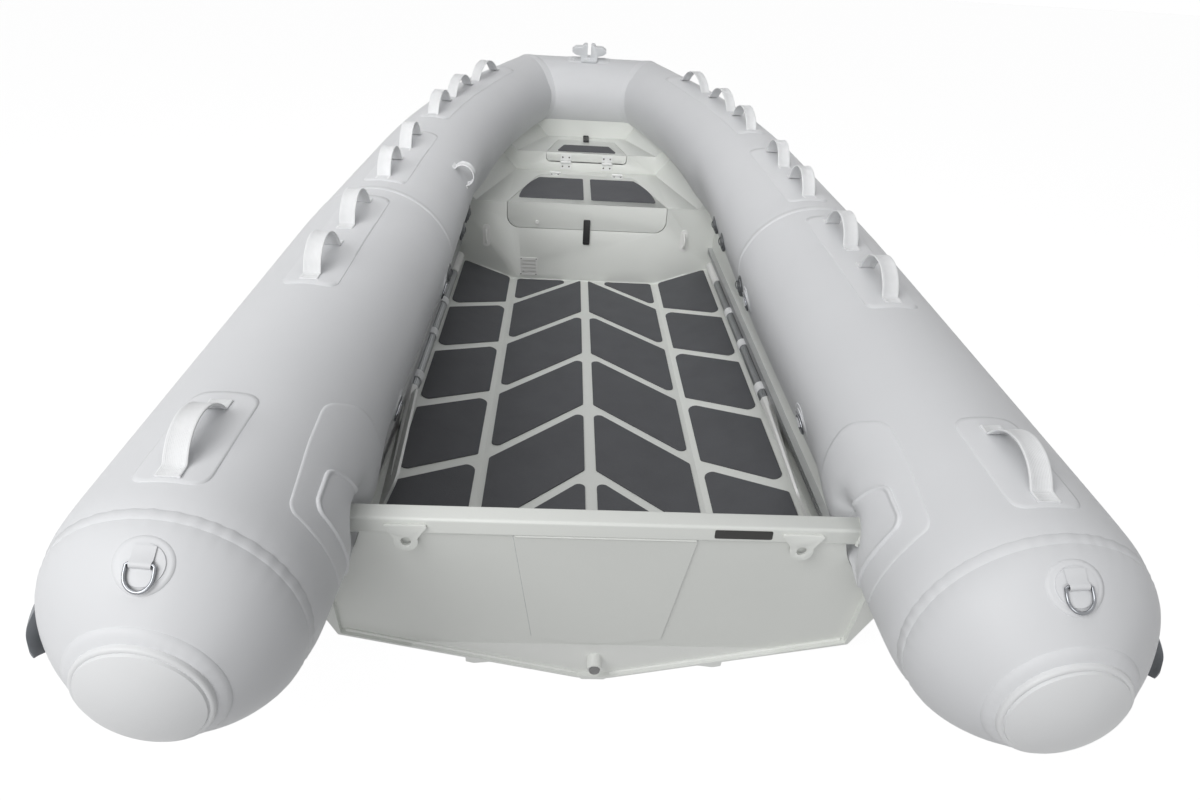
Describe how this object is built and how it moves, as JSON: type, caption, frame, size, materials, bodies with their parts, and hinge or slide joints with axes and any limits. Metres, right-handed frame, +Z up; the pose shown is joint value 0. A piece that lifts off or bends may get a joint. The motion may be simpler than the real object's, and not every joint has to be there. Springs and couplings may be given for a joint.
{
  "type": "rigid inflatable boat",
  "caption": "Rigid inflatable boat: welded vee hull with two bow lockers inside air tubes that join round the bow, with grab handles, oars and lashing rings.",
  "frame": {"origin": "on the centreline, at the waterline, below the aft face of the transom beam", "axes": "+X to starboard, +Y forward along the keel, +Z up"},
  "size_m": [1.7958, 3.8022, 0.9795],
  "materials": {
    "tube_fabric": "satin coated fabric, light grey",
    "strake_rubber": "matt grey moulded rubber",
    "hull_paint": "off-white powder coat, semi-gloss",
    "mat_rubber": "charcoal anti-slip foam, fine grain",
    "webbing": "white woven webbing with a coated face",
    "valve_plastic": "dark grey moulded plastic",
    "stainless": "polished stainless steel",
    "latch_rubber": "black moulded rubber",
    "grey_plastic": "light grey moulded plastic",
    "white_plastic": "white moulded plastic, semi-gloss",
    "aluminium": "anodised aluminium"
  },
  "bodies": {
    "boat": {"tube_starboard": "tube_fabric", "tube_port": "tube_fabric", "tube_bow": "tube_fabric", "cone_starboard": "tube_fabric", "cone_port": "tube_fabric", "end_caps": "grey_plastic", "rub_strake_starboard": "strake_rubber", "rub_strake_port": "strake_rubber", "rub_strake_bow": "strake_rubber", "grab_handles_starboard": "webbing", "grab_handles_port": "webbing", "loop_handle": "webbing", "valves": "valve_plastic", "d_rings": "stainless", "ring_patches": "tube_fabric", "bow_patch": "tube_fabric", "bow_fairlead": "grey_plastic", "hull_shell": "hull_paint", "transom_plate": "hull_paint", "transom_beam": "hull_paint", "motor_plate": "hull_paint", "tow_eyes": "hull_paint", "drain_pipe": "hull_paint", "spray_rails": "hull_paint", "keel_guard": "hull_paint", "deck_plate": "hull_paint", "deck_mats_inner_starboard": "mat_rubber", "deck_mats_inner_port": "mat_rubber", "deck_mats_outer_starboard": "mat_rubber", "deck_mats_outer_port": "mat_rubber", "side_rails": "aluminium", "step_locker": "hull_paint", "bow_locker": "hull_paint", "vent_grille": "white_plastic", "bulkhead_eyes": "white_plastic", "step_hinge_leaves": "stainless", "bow_hinge_leaves": "stainless", "latch_keepers": "hull_paint", "oar_shafts": "aluminium", "oar_grips": "white_plastic", "oar_blades": "white_plastic", "oar_straps": "webbing"},
    "step_lid": {"step_lid": "hull_paint", "step_lid_hinges": "stainless", "step_lid_mats": "mat_rubber", "step_latch": "latch_rubber", "step_lid_knob": "stainless"},
    "bow_lid": {"bow_lid": "hull_paint", "bow_lid_hinges": "stainless", "bow_lid_mat": "mat_rubber", "bow_latch": "latch_rubber"}
  },
  "joints": [
    {"name": "step_lid_hinge", "type": "hinge", "parent": "boat", "child": "step_lid", "pos_m": [0, 2.68, 0.355], "axis": [-1, 0, 0], "range_deg": [0, 90]},
    {"name": "bow_lid_hinge", "type": "hinge", "parent": "boat", "child": "bow_lid", "pos_m": [0, 2.738, 0.39], "axis": [1, 0, 0], "range_deg": [0, 90]}
  ]
}
